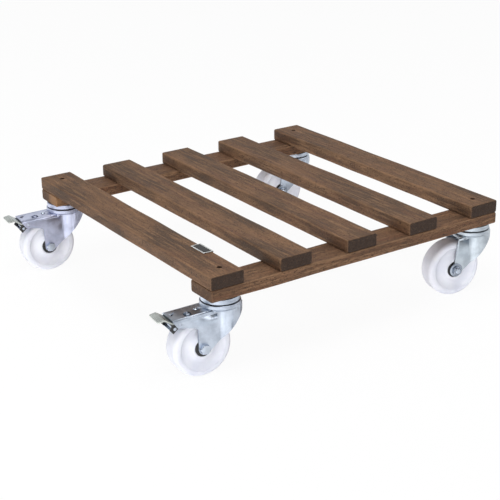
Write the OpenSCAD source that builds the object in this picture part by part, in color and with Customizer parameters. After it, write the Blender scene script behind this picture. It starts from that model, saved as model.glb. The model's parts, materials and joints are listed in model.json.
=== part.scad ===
// Plant pot caddy: a slatted timber deck on four swivel casters, two of them with foot brakes.
// Units are millimetres. The origin is the centre of the deck's top face, +Z up, +X along the
// battens, +Y along the slats.

/* [Deck] */
// Length of the deck along the battens
deck_l = 500; // [460:10:600]
// Depth of the deck along the slats
deck_w = 500; // [460:10:600]
// Width of each slat
slat_w = 51; // [46:1:58]
// Thickness of each slat
slat_t = 19; // [16:1:24]
// Width of each batten
batten_w = 51; // [48:1:60]
// Thickness of each batten
batten_t = 17; // [15:1:24]
// Radius worn along the edges of the timber
edge_r = 2; // [1:0.5:4]

/* [Casters] */
// Height of a caster, from the floor to the batten
caster_h = 107.5; // [106:0.5:110]
// Wheel diameter
wheel_d = 84; // [80:1:84]
// Width of the wheel's tread
wheel_w = 29; // [24:1:29]
// Distance that the axle trails behind the swivel
trail = 33.5; // [32:0.5:34]
// Outer diameter of the fork's swivel head
head_d = 55.6; // [54:0.2:58]
// Thickness of the pressed steel
steel_t = 2.4; // [2:0.2:2.6]

/* [Caster places] */
// Distance of the front left swivel from the deck's end
front_left_inset = 29; // [24:0.5:30]
// Distance of the rear left swivel from the deck's end
rear_left_inset = 25; // [24:0.5:30]
// Distance of the front right swivel from the deck's end
front_right_inset = 25.5; // [24:0.5:30]
// Distance of the rear right swivel from the deck's end
rear_right_inset = 26.5; // [24:0.5:30]
// Way the front left caster is turned, clockwise from above
front_left_turn = 5.5; // [0:0.5:40]
// Way the rear left caster is turned, clockwise from above
rear_left_turn = 6; // [0:0.5:40]
// Way the front right caster is turned, clockwise from above
front_right_turn = 12; // [0:0.5:40]
// Way the rear right caster is turned, clockwise from above
rear_right_turn = 6; // [0:0.5:40]

/* [Label clip] */
// Length of the label clip along the slat
clip_l = 33; // [25:1:45]
// How far the label clip reaches over the slat
clip_w = 15; // [12:1:20]
// Distance from the deck's front edge to the label clip
clip_y = 75; // [60:5:200]

/* [Hidden] */
$fn = 64;
SLATS = 5;
// Hand-laid slats stray a little from an even spacing
SLAT_STRAY = [0, -3.2, -3.9, -5, 0];
deck_t = slat_t + batten_t;
slat_pitch = (deck_l - slat_w) / (SLATS - 1);
batten_y = (deck_w - batten_w) / 2;

// One row per caster: name, end of the deck, side of the deck, inset, turn, braked
CASTERS = [
  ["front_left", -1, -1, front_left_inset, front_left_turn, true],
  ["rear_left", -1, 1, rear_left_inset, rear_left_turn, true],
  ["front_right", 1, -1, front_right_inset, front_right_turn, false],
  ["rear_right", 1, 1, rear_right_inset, rear_right_turn, false],
];
BRAKED = [for (c = CASTERS) if (c[5]) c];

CASTER_PIECES = ["top_race", "lower_race", "head_balls", "fork", "wheel", "hub_sleeve", "hub_caps",
                 "axle_bolt", "axle_nut"];
BRAKE_PIECES = ["brake_pedal", "brake_pivot", "brake_cam_pin", "brake_leaf", "leaf_rivet"];

// --- Fasteners in the timber ---
bolt_r = 4;
pilot_r = 3;
bolt_tip_depth = 6;
screw_r = 2;
screw_head_r = 4;
screw_head_t = 2.6;
screw_tip_depth = 7;
screw_offset = 12;
hex_af = 13;
hex_r = hex_af / sqrt(3);

// --- Label clip ---
clip_t = 0.9;
clip_drop = 12;
clip_rim = 1.6;
clip_rim_t = 0.6;
clip_fit = 0.1;

// --- Swivel head, measured down from the batten ---
head_r = head_d / 2;
race_r = head_r - 1.4;
king_r = 7;
king_bore_r = 4.3;
king_flange_r = 10.4;
king_flange_t = 1.8;
run_fit = 0.05;
ball_r = 2.5;
ball_pitch_r = 20.5;
ball_z = -6.6;
ball_count = 20;
low_ball_r = 2;
low_ball_pitch_r = 12.5;
low_ball_z = -15.4;
low_ball_count = 14;
groove_fit = 0.05;
rim_top_z = -8;
crown_z = -14.4;
low_race_r = 17.2;
low_race_z = -19.2;

// --- Fork, in the caster's own frame: +X points from the swivel towards the axle ---
axle_z = wheel_d / 2 - caster_h;
fork_gap = wheel_w + 2.6;
fork_w = fork_gap + 2 * steel_t;
skirt_r = 23.5;
skirt_x = -6;
crease_r = 6;
leg_end_r = 8.8;
leg_end = [trail - 0.8, axle_z + 0.2];
leg_rear = trail + 8;
roof_slope = 2.6;
roof_x = 18;
roof_bend_r = 5;
plain_tail = 30;
brake_tail = 76;
arm_end = [70.5, -27.6];
arm_rise = 0.219;
arm_fillet_r = 7;

// --- Wheel and axle ---
tread_r = 6;
sleeve_r = 6;
cap_r = 12;
cap_t = 2.3;
hub_w = wheel_w + 1.4;
hub_r = 14;
side_gap = 0.3;
dish_depth = 3.6;
dish_inner_r = 15.5;
dish_outer_r = wheel_d / 2 - 9;
head_t = 5.3;
nut_t = 6.6;
nut_flange_r = 10.3;
nut_flange_t = 1.4;

// --- Brake ---
pivot = [66, -23.4];
pivot_r = 1.9;
cam_reach = 9.3;
cam_angle = -40;
cam_r = 2.2;
cam_pin = pivot + cam_reach * [cos(cam_angle), sin(cam_angle)];
pedal_t = 1.8;
pedal_w = 29;
cheek_t = 2;
cheek_w = pedal_w - 0.4;
foot_end = [96.2, -16.3];
foot_heel = [86.8, -14.8];
foot_corner_r = 3;
leaf_t = 1.4;
leaf_w = 22.8;
leaf_path = [[27, -18.05], [41, -18.7], [53, -25.6], [61, -30.1], [77, -33.6]];
tab_y = 7.3;
tab_gap = 5.2;
tab_t = 1.2;
slot = [46.8, 10, 9];
rivet_x = 35.9;
rivet_r = 1.9;
window = [[72.8, -5.5], [62.9, -8.1], [71, 2.3]];

// --- Shared shapes ---

// A rectangle about the origin with round corners
module round_rect(w, h, r) {
  square([w, h - 2 * r], center = true);
  square([w - 2 * r, h], center = true);
  for (x = [-1, 1], y = [-1, 1]) translate([x * (w / 2 - r), y * (h / 2 - r)]) circle(r);
}

// A planed bar about the origin, every edge rounded
module bar(size, r) {
  intersection() {
    linear_extrude(size.z, center = true) round_rect(size.x, size.y, r);
    rotate([90, 0, 0]) linear_extrude(size.y, center = true) round_rect(size.x, size.z, r);
    rotate([90, 0, 90]) linear_extrude(size.x, center = true) round_rect(size.y, size.z, r);
  }
}

function unit(v) = v / norm(v);

// Direction of a path as it reaches its point i (step 0) or leaves it (step 1)
function heading(path, i, step) =
  let (j = min(max(i - 1 + step, 0), len(path) - 2)) unit(path[j + 1] - path[j]);

// Points of a path moved sideways by d, its corners mitred
function moved(path, d) =
  [for (i = [0 : len(path) - 1])
    let (m = heading(path, i, 0) + heading(path, i, 1)) path[i] + 2 * d / (m * m) * [-m.y, m.x]];

function reversed(list) = [for (i = [len(list) - 1 : -1 : 0]) list[i]];

// Sheet bent along a path in a side view
module bent_sheet(path, t) {
  polygon(concat(moved(path, t / 2), reversed(moved(path, -t / 2))));
}

// Stands a side view up in the XZ plane, w thick about Y = 0
module side_view(w) {
  rotate([90, 0, 0]) linear_extrude(w, center = true) children();
}

// A ring of balls about the swivel
module ball_ring(n, r, pitch_r, z) {
  for (i = [0 : n - 1]) rotate([0, 0, i * 360 / n]) translate([pitch_r, 0, z]) sphere(r);
}

// The groove that a ring of balls runs in
module ball_groove(r, pitch_r, z) {
  rotate_extrude() translate([pitch_r, z]) circle(r + groove_fit);
}

// A cylinder along Y through a point of the side view
module cross_pin(p, r, l) {
  translate([p.x, 0, p.y]) rotate([90, 0, 0]) cylinder(h = l, r = r, center = true);
}

// Hexagon head or nut along +Z, its outer corners turned down
module hex_head(t) {
  intersection() {
    cylinder(h = t, r = hex_r, $fn = 6);
    cylinder(h = t, r1 = hex_r + t, r2 = hex_r - 0.9);
  }
}

// --- Placing ---

function swivel_at(c) =
  [c[1] * (deck_l / 2 - c[3]), c[2] * batten_y, -deck_t];

// Puts a caster's own frame at its corner of the deck
module at_caster(c) {
  translate(swivel_at(c)) rotate([0, 0, 180 - c[4]]) children();
}

// Puts the caster's axle along +Z, at its middle, with +Z towards the bolt's head
module at_axle(c) {
  at_caster(c) translate([trail, 0, axle_z]) rotate([c[5] ? -90 : 90, 0, 0]) children();
}

function slat_x(i) = (i - 1) * slat_pitch + SLAT_STRAY[i - 1] - (deck_l - slat_w) / 2;

// Where the wood screws stand: two on each crossing of an inner slat and a batten
SCREWS = [for (i = [2 : SLATS - 1], side = [-1, 1], s = [-1, 1])
          [slat_x(i) + s * screw_offset, side * batten_y + s * side * screw_offset]];

// --- Timber ---

module wood_screw() {
  translate([0, 0, -deck_t]) cylinder(h = screw_head_t, r1 = screw_head_r, r2 = screw_r);
  translate([0, 0, -deck_t]) cylinder(h = deck_t - screw_tip_depth, r = screw_r);
}

// Space for the fasteners in the timber, with the pilot holes open at the top
module timber_holes() {
  for (p = SCREWS) translate(p) wood_screw();
  for (c = CASTERS) translate([swivel_at(c).x, swivel_at(c).y, 0]) {
    translate([0, 0, -deck_t - 1]) cylinder(h = deck_t - bolt_tip_depth + 1, r = bolt_r);
    translate([0, 0, -deck_t]) cylinder(h = deck_t + 1, r = pilot_r);
  }
}

module slat(i) {
  color("#6b5443") difference() {
    translate([slat_x(i), 0, -slat_t / 2]) bar([slat_w, deck_w, slat_t], edge_r);
    timber_holes();
  }
}

module batten(side) {
  color("#6a4a3a") difference() {
    translate([0, side * batten_y, -slat_t - batten_t / 2]) bar([deck_l, batten_w, batten_t], edge_r);
    timber_holes();
  }
}

module under_screws() {
  color("goldenrod") for (p = SCREWS) translate(p) wood_screw();
}

// Coach screws that come up through each swivel into the timber
module caster_bolts() {
  head_z = low_race_z - king_flange_t - head_t;
  color("silver") for (c = CASTERS) translate(swivel_at(c)) {
    translate([0, 0, head_z]) mirror([0, 0, 1]) translate([0, 0, -head_t]) hex_head(head_t);
    translate([0, 0, head_z + head_t]) cylinder(h = deck_t - bolt_tip_depth - head_z - head_t,
                                                r = bolt_r);
  }
}

// --- Label clip on the inner edge of the first slat ---

clip_x = slat_x(1) + slat_w / 2;

module label_clip() {
  color("silver") translate([clip_x + clip_fit, clip_y - deck_w / 2, clip_fit]) difference() {
    union() {
      translate([-clip_w, 0, 0]) cube([clip_w + clip_t, clip_l, clip_t + clip_rim_t]);
      translate([0, 0, -clip_drop]) cube([clip_t, clip_l, clip_drop + clip_t]);
    }
    translate([clip_rim - clip_w, clip_rim, clip_t])
      cube([clip_w - 2 * clip_rim, clip_l - 2 * clip_rim, clip_rim_t + 1]);
  }
}

module label_insert() {
  color("dimgray") translate([clip_x + clip_fit, clip_y - deck_w / 2, clip_fit])
    translate([clip_rim - clip_w, clip_rim, clip_t])
      cube([clip_w - 2 * clip_rim, clip_l - 2 * clip_rim, clip_rim_t / 2]);
}

// --- Swivel head ---

// Upper race: a pressed cup against the batten, its rim turned down over the balls
module top_race() {
  color("lightsteelblue") difference() {
    rotate_extrude() {
      polygon([[king_r, 0], [race_r - 1.4, 0], [race_r - 0.4, -0.4], [race_r, -1.4],
               [race_r, -6.5], [race_r - 1.8, -6.5], [race_r - 2.4, -4.6], [17, -4.6],
               [15.4, -2.2], [king_r, -2.2]]);
    }
    ball_groove(ball_r, ball_pitch_r, ball_z);
  }
}

// Lower race: a cup clamped under the fork's head by the king rivet
module lower_race() {
  color("lightsteelblue") difference() {
    rotate_extrude() {
      polygon([[king_r, -17], [15.8, -17], [15.8, -15.4], [low_race_r, -15.4],
               [low_race_r, low_race_z + 1], [low_race_r - 1, low_race_z], [king_r, low_race_z]]);
    }
    ball_groove(low_ball_r, low_ball_pitch_r, low_ball_z);
  }
}

module head_balls() {
  color("silver") {
    ball_ring(ball_count, ball_r, ball_pitch_r, ball_z);
    ball_ring(low_ball_count, low_ball_r, low_ball_pitch_r, low_ball_z);
  }
}

// Hollow rivet that clamps the two races and that the fork turns about
module king_rivet() {
  rotate_extrude() {
    translate([king_bore_r, low_race_z - king_flange_t])
      square([king_r - king_bore_r, king_flange_t - low_race_z]);
    translate([king_bore_r, low_race_z - king_flange_t])
      square([king_flange_r - king_flange_t / 2 - king_bore_r, king_flange_t]);
    translate([king_flange_r - king_flange_t / 2, low_race_z - king_flange_t / 2])
      circle(king_flange_t / 2);
  }
}

module king_rivets() {
  color("silver") for (c = CASTERS) translate(swivel_at(c)) king_rivet();
}

// --- Fork ---

// Outline of the pressing from above: a round front that pulls in to two flat legs.
// inset moves the whole outline inwards by the sheet's thickness.
module fork_outline(inset, tail) {
  half = fork_w / 2;
  fillet_x = skirt_x + sqrt(pow(skirt_r + crease_r, 2) - pow(half + crease_r, 2));
  translate([skirt_x, 0]) circle(skirt_r - inset);
  translate([fillet_x, inset - half]) square([tail - fillet_x, 2 * (half - inset)]);
  for (s = [0, 1]) mirror([0, s]) difference() {
    polygon([[skirt_x, 0], [fillet_x, half + crease_r], [fillet_x, 0]]);
    translate([fillet_x, half + crease_r]) circle(crease_r + inset);
  }
}

// Upright walls of the skirt and legs, left open behind
module fork_walls() {
  bottom = axle_z - leg_end_r - 1;
  difference() {
    translate([0, 0, bottom]) linear_extrude(crown_z + 2 - bottom) difference() {
      fork_outline(0, brake_tail + 1);
      fork_outline(steel_t, brake_tail + 2);
    }
    translate([roof_x + 1, -head_r, crown_z - roof_bend_r]) cube([brake_tail, head_d, 20]);
  }
}

// Channel section of the roof, seen from behind: a folded sheet with rounded shoulders
module roof_section() {
  depth = 26;
  inner_r = roof_bend_r - steel_t;
  difference() {
    translate([0, -depth / 2]) round_rect(fork_w, depth, roof_bend_r);
    translate([0, -steel_t - depth / 2]) round_rect(fork_gap, depth, inner_r);
    translate([-fork_w, -depth - 1]) square([2 * fork_w, roof_bend_r + 2]);
  }
}

// Roof that runs back from the head and slopes down a little to its tail
module fork_roof(tail) {
  difference() {
    translate([roof_x, 0, crown_z]) rotate([0, roof_slope, 0]) rotate([90, 0, 90])
      translate([0, 0, -4]) linear_extrude(tail) roof_section();
    translate([0, 0, -60]) cylinder(h = 60, r = low_race_r + 1.4);
    translate([tail, -50, -60]) cube([80, 100, 60]);
  }
}

function arm_z(x) = arm_end.y - arm_rise * (arm_end.x - x);

// Side view of the fork: a slanting front edge, a round leg end and, on a braked
// caster, two arms that reach back under the roof
module fork_profile(braked) {
  top = -7;
  front = skirt_x - skirt_r - 0.3;
  front_edge = [[front + 6, top], [front + 3, crown_z + 2], [front, crown_z - 2.6], [front, -24.3]];
  toe = leg_end + (leg_end_r - run_fit) * [cos(-130), sin(-130)];
  fillet_x = leg_rear + arm_fillet_r;
  fillet_z = arm_z(fillet_x) - arm_fillet_r * sqrt(1 + pow(arm_rise, 2));
  translate(leg_end) circle(leg_end_r);
  if (braked) {
    polygon(concat(front_edge, [toe, leg_end, [leg_rear, leg_end.y],
                                [leg_rear, arm_z(leg_rear)], arm_end,
                                [brake_tail, crown_z - roof_bend_r], [brake_tail, top]]));
    difference() {
      polygon([[leg_rear, fillet_z], [fillet_x, fillet_z], [fillet_x, arm_z(fillet_x)],
               [leg_rear, arm_z(leg_rear)]]);
      translate([fillet_x, fillet_z]) circle(arm_fillet_r);
    }
  } else {
    polygon(concat(front_edge, [toe, leg_end, leg_end + [leg_end_r - run_fit, 0],
                                [trail + 3.2, axle_z + 7.4], [plain_tail, crown_z - steel_t],
                                [plain_tail, top]]));
  }
}

// Swivel head of the fork: a dished plate with a raised ball track and a turned-down rim
module fork_head() {
  difference() {
    rotate_extrude() {
      polygon([[king_r + run_fit, -11.4], [15.5, -11.4], [17.2, -8.6], [head_r - 3, -8.6],
               [head_r - 2.2, rim_top_z], [head_r - 1.2, rim_top_z], [head_r, rim_top_z - 1.2],
               [head_r, -12.8], [head_r - 3.4, -16.6], [19.6, -16.6], [19.6, crown_z],
               [head_r - 3.6, crown_z], [head_r - 2.4, -12.8], [head_r - 2.4, -11.4],
               [head_r - 2.8, -11], [18.6, -11], [16.8, -13.8], [king_r + run_fit, -13.8]]);
      translate([head_r - 1.2, rim_top_z - 1.2]) circle(1.2);
    }
    ball_groove(ball_r, ball_pitch_r, ball_z);
    ball_groove(low_ball_r, low_ball_pitch_r, low_ball_z);
  }
}

module fork(c) {
  braked = c[5];
  tail = braked ? brake_tail : plain_tail;
  color("lightsteelblue") difference() {
    union() {
      fork_head();
      intersection() {
        union() {
          fork_walls();
          fork_roof(tail);
        }
        side_view(fork_w + 20) fork_profile(braked);
      }
    }
    cross_pin([trail, axle_z], bolt_r + run_fit, fork_w + 2);
    if (braked) {
      cross_pin(pivot, pivot_r, fork_w + 2);
      translate([rivet_x, 0, -30]) cylinder(h = 30, r = rivet_r);
      translate([slot[0], tab_y - slot[2] / 2, -20]) cube([slot[1], slot[2], 12]);
      translate([0, 0, -24]) linear_extrude(16) polygon(window);
    }
  }
}

// --- Wheel ---

// Half section of the wheel: a rounded tread, a dished side and a raised hub
module wheel_section() {
  outer = wheel_d / 2;
  half = wheel_w / 2;
  bore = sleeve_r + run_fit;
  dish_mid = (dish_inner_r + dish_outer_r) / 2;
  dish_span = (dish_outer_r - dish_inner_r) / 2;
  dish_r = (pow(dish_span, 2) + pow(dish_depth, 2)) / (2 * dish_depth);
  difference() {
    union() {
      translate([bore, -half]) square([outer - tread_r - bore, wheel_w]);
      translate([bore, tread_r - half]) square([outer - bore, wheel_w - 2 * tread_r]);
      for (s = [-1, 1]) translate([outer - tread_r, s * (half - tread_r)]) circle(tread_r);
      translate([bore, -hub_w / 2]) square([hub_r - bore, hub_w]);
    }
    for (s = [0, 1]) mirror([0, s]) {
      translate([dish_mid, half + dish_r - dish_depth]) circle(dish_r);
      translate([0, fork_gap / 2 - cap_t - side_gap]) square([cap_r + side_gap, cap_t]);
    }
  }
}

module wheel() {
  color("ghostwhite") rotate_extrude() wheel_section();
}

module hub_sleeve() {
  color("silver") difference() {
    cylinder(h = fork_gap, r = sleeve_r, center = true);
    cylinder(h = fork_gap + 2, r = bolt_r + run_fit, center = true);
  }
}

// Thread guards: a ring in each mouth of the hub, held still between the hub and the leg
module hub_caps() {
  color("#202020") for (s = [-1, 1]) translate([0, 0, s * (fork_gap - cap_t) / 2]) difference() {
    cylinder(h = cap_t, r = cap_r, center = true);
    cylinder(h = cap_t + 2, r = sleeve_r, center = true);
  }
}

module axle_bolt() {
  color("silver") {
    translate([0, 0, fork_w / 2]) hex_head(head_t);
    translate([0, 0, -fork_w / 2 - nut_t - 1.2]) cylinder(h = fork_w + nut_t + 1.2, r = bolt_r);
  }
}

module axle_nut() {
  color("silver") translate([0, 0, -fork_w / 2]) mirror([0, 0, 1]) difference() {
    union() {
      hex_head(nut_t);
      cylinder(h = nut_flange_t, r1 = nut_flange_r, r2 = nut_flange_r - 0.5);
    }
    translate([0, 0, -1]) cylinder(h = nut_t + 2, r = bolt_r);
  }
}

// --- Brake ---

// Pedal: a ridged foot plate, a riser and two cheeks that straddle the leaf
module brake_pedal() {
  web = [foot_end, foot_heel, [76, -21.8], [69, -22.6]];
  along = unit(foot_end - foot_heel);
  color("lightgray") difference() {
    union() {
      intersection() {
        side_view(pedal_w) bent_sheet(web, pedal_t);
        translate([0, 0, -40]) linear_extrude(40)
          translate([foot_end.x - 40, 0]) round_rect(80, pedal_w, foot_corner_r);
      }
      for (i = [1 : 3])
        cross_pin(foot_heel + i * 2.3 * along + pedal_t / 2 * [-along.y, along.x], 0.5,
                  pedal_w - 2 * foot_corner_r);
      difference() {
        side_view(cheek_w) {
          translate(pivot) circle(4);
          polygon([pivot + [0, 3.6], [71.6, -21.3], [77.5, -19.9], [79.5, -21], [77, -26.1],
                   [79.8, -30.6], [75, -36.4], [68.4, -30.2], pivot - [2, 2.6]]);
        }
        translate([0, 0, -25]) cube([200, cheek_w - 2 * cheek_t, 40], center = true);
      }
    }
    cross_pin(pivot, pivot_r + run_fit, fork_w);
    cross_pin(cam_pin, cam_r, fork_w);
  }
}

module brake_pivot() {
  color("silver") cross_pin(pivot, pivot_r, fork_w);
}

module brake_cam_pin() {
  color("silver") cross_pin(cam_pin, cam_r, pedal_w + 1.2);
}

// Leaf: a strip hung under the roof that the cam pin presses onto the tread
module brake_leaf() {
  color("lightsteelblue") difference() {
    union() {
      side_view(leaf_w) bent_sheet(leaf_path, leaf_t);
      for (s = [-1, 1]) translate([0, tab_y + s * (tab_gap + tab_t) / 2, 0]) side_view(tab_t)
        polygon([[49.5, -23.6], [50.2, -13.9], [54.6, -13.9], [55.6, -26.9]]);
    }
    translate([rivet_x, 0, -30]) cylinder(h = 20, r = rivet_r + 0.4);
  }
}

// Shouldered rivet that the leaf hangs on
module leaf_rivet() {
  roof_top = crown_z - (rivet_x - roof_x) * tan(roof_slope);
  color("silver") translate([rivet_x, 0, 0]) {
    translate([0, 0, roof_top - 6]) cylinder(h = 6.3, r = rivet_r);
    translate([0, 0, roof_top - 6.4]) cylinder(h = 1, r = 3.4);
    translate([0, 0, roof_top + 0.25]) cylinder(h = 1.1, r1 = 3.6, r2 = 2.2);
  }
}

// --- Drawing ---

for (i = [1 : SLATS]) {
  slat(i);
}
batten(-1);  // batten_front
batten(1);  // batten_back
under_screws();
caster_bolts();
king_rivets();
label_clip();
label_insert();
for (c = CASTERS) {
  at_caster(c) top_race();
  at_caster(c) lower_race();
  at_caster(c) head_balls();
  at_caster(c) fork(c);
  at_axle(c) wheel();
  at_axle(c) hub_sleeve();
  at_axle(c) hub_caps();
  at_axle(c) axle_bolt();
  at_axle(c) axle_nut();
}
for (c = BRAKED) {
  at_caster(c) brake_pedal();
  at_caster(c) brake_pivot();
  at_caster(c) brake_cam_pin();
  at_caster(c) brake_leaf();
  at_caster(c) leaf_rivet();
}
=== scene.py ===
"""Plant pot caddy: five stained slats on two battens, carried by four zinc-plated swivel casters.

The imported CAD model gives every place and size. The pieces here are surfaces worked out as whole
arrays, in metres, in the CAD frame, with their own finishes.
"""

import json
from math import cos, pi, radians, sin

import bmesh
import bpy
import numpy as np
from mathutils import Matrix, Vector


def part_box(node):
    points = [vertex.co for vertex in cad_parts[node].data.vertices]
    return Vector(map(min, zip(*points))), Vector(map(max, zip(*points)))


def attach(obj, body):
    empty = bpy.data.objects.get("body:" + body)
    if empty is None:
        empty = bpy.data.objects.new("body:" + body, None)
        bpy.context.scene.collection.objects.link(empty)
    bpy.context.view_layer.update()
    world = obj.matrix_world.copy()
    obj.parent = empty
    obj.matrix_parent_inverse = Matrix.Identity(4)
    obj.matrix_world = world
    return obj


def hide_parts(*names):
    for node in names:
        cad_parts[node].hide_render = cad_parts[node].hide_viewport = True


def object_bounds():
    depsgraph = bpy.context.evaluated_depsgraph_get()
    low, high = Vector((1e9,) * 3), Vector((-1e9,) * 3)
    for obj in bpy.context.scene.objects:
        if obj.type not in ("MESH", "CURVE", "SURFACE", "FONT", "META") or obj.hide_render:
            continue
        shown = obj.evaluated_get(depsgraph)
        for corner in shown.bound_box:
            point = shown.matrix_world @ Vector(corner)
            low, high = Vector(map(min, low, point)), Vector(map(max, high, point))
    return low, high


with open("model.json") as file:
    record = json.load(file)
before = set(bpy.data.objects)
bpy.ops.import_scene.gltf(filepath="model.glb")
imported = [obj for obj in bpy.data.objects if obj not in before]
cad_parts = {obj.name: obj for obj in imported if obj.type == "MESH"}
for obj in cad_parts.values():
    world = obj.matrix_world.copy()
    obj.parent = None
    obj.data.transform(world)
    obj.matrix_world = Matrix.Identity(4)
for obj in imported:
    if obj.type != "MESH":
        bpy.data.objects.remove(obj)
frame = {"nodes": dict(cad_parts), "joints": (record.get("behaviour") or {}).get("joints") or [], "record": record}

bl_info = {
    "name": "Plant Pot Caddy",
    "version": (1, 0, 0),
    "blender": (4, 5, 0),
    "location": "View3D > Sidebar > Caddy",
    "description": "Builds a slatted timber pot caddy on four swivel casters",
    "category": "Object",
}

MM = 0.001
CAD_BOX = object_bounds()
RECORD = frame["record"]
BODY_OF = {node: body for body, nodes in RECORD["behaviour"]["bodies"].items() for node in nodes}
JOINTS = {joint["name"]: joint for joint in frame["joints"]}
CASTERS = ("front_left", "rear_left", "front_right", "rear_right")
BRAKED = tuple(caster for caster in CASTERS if "pedal_" + caster in JOINTS)
SLATS = tuple(sorted(node for node in frame["nodes"] if node.startswith("slat_")))
BATTENS = ("batten_front", "batten_back")
HEX_FLATS, HEAD_HEIGHT = 13 * MM, 5.3 * MM
BOLT_RADIUS, AXLE_BORE = 4 * MM, 6.05 * MM
BORE_SHADE = (0.006, 0.004, 0.003, 1)
WHITE = (1, 1, 1, 1)


# --- Shapes as arrays -------------------------------------------------------------------------


def turns(count):
    """Angles evenly round a full turn."""
    return np.arange(count) * 2 * pi / count


def ease(x):
    """Smooth step: 3x^2 - 2x^3 with x held between 0 and 1."""
    x = np.clip(x, 0, 1)
    return x * x * (3 - 2 * x)


def waver(x, seed):
    """A smooth wandering value between about -1 and 1: a sum of sines, each of a seeded pace and phase."""
    waves = 5
    rng = np.random.default_rng(seed)
    pace = rng.uniform(6, 60, waves)
    phase = rng.uniform(0, 2 * pi, waves)
    x = np.asarray(x)[..., None]
    return np.sin(pace * x + phase).sum(-1) / waves * 1.6


def corner_path(points, steps=6):
    """A run of (x, y, radius) corners as a line whose corners are rounded: each corner is the quadratic
    curve (1-t)^2 A + 2t(1-t) P + t^2 B between points A and B set back from it along its two sides."""
    given = np.array(points, float)
    run = []
    for i, (x, y, radius) in enumerate(given):
        here = np.array((x, y))
        if radius == 0 or i in (0, len(given) - 1):
            run.append(here[None])
            continue
        back = given[i - 1, :2] - here
        ahead = given[i + 1, :2] - here
        start = here + back / np.linalg.norm(back) * radius
        end = here + ahead / np.linalg.norm(ahead) * radius
        t = np.linspace(0, 1, steps)[:, None]
        run.append((1 - t) ** 2 * start + 2 * t * (1 - t) * here + t**2 * end)
    return np.concatenate(run)


def revolve(profile, columns=96):
    """A surface of revolution: a profile's (radius, height) goes to (radius cos a, radius sin a, height)
    at every angle a of a full turn."""
    a = turns(columns)
    radius, height = profile[:, :1], profile[:, 1:2]
    return np.stack([radius * np.cos(a), radius * np.sin(a), height + 0 * a], -1)


def shell(points, ring=False):
    """Vertices and outward quads of a grid whose columns run round in a loop. With ring, the rows run
    round too; otherwise the first and last rows are single points."""
    rows, columns = points.shape[:2]
    r = np.arange(rows if ring else rows - 1)[:, None]
    c = np.arange(columns)[None, :]
    below, right = (r + 1) % rows, (c + 1) % columns
    quads = np.stack(
        [r * columns + c, r * columns + right, below * columns + right, below * columns + c], -1
    ).reshape(-1, 4)
    vertices = points.reshape(-1, 3)
    corner = vertices[quads]
    volume = np.einsum("ij,ij->i", corner[:, 0], np.cross(corner[:, 1], corner[:, 2])).sum()
    volume += np.einsum("ij,ij->i", corner[:, 0], np.cross(corner[:, 2], corner[:, 3])).sum()
    return vertices, quads if volume > 0 else quads[:, ::-1]


def build_mesh(name, shells, attributes=None, crease=32):
    """One mesh of several shells, its seams and poles closed, smooth but for edges over crease degrees."""
    starts = np.cumsum([0] + [len(vertices) for vertices, _ in shells])[:-1]
    vertices = np.concatenate([v for v, _ in shells])
    quads = np.concatenate([q + start for (_, q), start in zip(shells, starts)])
    mesh = bpy.data.meshes.new(name)
    mesh.from_pydata(vertices.tolist(), [], quads.tolist())
    for key, values in (attributes or {}).items():
        mesh.attributes.new(key, "FLOAT", "POINT").data.foreach_set("value", values.astype(np.float32))
    finish_mesh(mesh, crease)
    return mesh


def finish_mesh(mesh, crease):
    """Merges points that coincide and shades the mesh smooth but for edges over crease degrees."""
    work = bmesh.new()
    work.from_mesh(mesh)
    bmesh.ops.remove_doubles(work, verts=work.verts, dist=2e-6)
    work.to_mesh(mesh)
    work.free()
    mesh.shade_smooth()
    mesh.set_sharp_from_angle(angle=radians(crease))


def add_piece(name, mesh, material, *nodes):
    """A finished piece at the origin that stands for CAD nodes, on their body and with their slot."""
    piece = bpy.data.objects.new(name, mesh)
    bpy.context.scene.collection.objects.link(piece)
    mesh.materials.clear()
    mesh.materials.append(material)
    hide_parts(*nodes)
    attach(piece, BODY_OF[nodes[0]])
    return piece


def add_shells(name, node, shells, material):
    """A piece made of several shells that stands for one CAD node."""
    return add_piece(name, build_mesh(node, shells), material, node)


def tidy_copy(name, node, material, bevel=0.2 * MM, crease=30):
    """A CAD node's own shape with its triangles merged, shaded smooth, and its sharp edges eased."""
    mesh = frame["nodes"][node].data.copy()
    finish_mesh(mesh, crease)
    piece = add_piece(name, mesh, material, node)
    if bevel:
        ease_edges(piece, bevel)
    return piece


def ease_edges(piece, width):
    """Rounds edges sharper than 35 degrees to a small radius."""
    edge = piece.modifiers.new("Eased edges", "BEVEL")
    edge.width = width
    edge.segments = 2
    edge.limit_method = "ANGLE"
    edge.angle_limit = radians(35)
    edge.harden_normals = True


def points_of(mesh):
    """A mesh's points as an array."""
    points = np.empty(len(mesh.vertices) * 3)
    mesh.vertices.foreach_get("co", points)
    return points.reshape(-1, 3)


def placed(points, matrix):
    """Points carried from a piece's own axes to the CAD frame."""
    matrix = np.array(matrix)
    return points @ matrix[:3, :3].T + matrix[:3, 3]


def caster_axes(caster):
    """A caster's own frame: its origin where the swivel meets the batten, +X towards the axle."""
    swivel = Vector(JOINTS["swivel_" + caster]["pos_m"])
    axle = Vector(JOINTS["spin_" + caster]["pos_m"])
    origin = Vector((swivel.x, swivel.y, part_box("top_race_" + caster)[1].z))
    back = Vector((axle.x - swivel.x, axle.y - swivel.y, 0)).normalized()
    across = Vector((0, 0, 1)).cross(back)
    return Matrix.Translation(origin) @ Matrix((back, across, (0, 0, 1))).transposed().to_4x4()


def axle_axes(caster):
    """The axle's own frame: its origin at the middle of the wheel, +Z towards the bolt's head."""
    origin = Vector(JOINTS["spin_" + caster]["pos_m"])
    up = Vector(JOINTS["spin_" + caster]["axis"]).normalized()
    if caster not in BRAKED:
        up = -up
    side = up.cross(Vector((0, 0, 1))).normalized()
    return Matrix.Translation(origin) @ Matrix((side, up.cross(side), up)).transposed().to_4x4()


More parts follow.
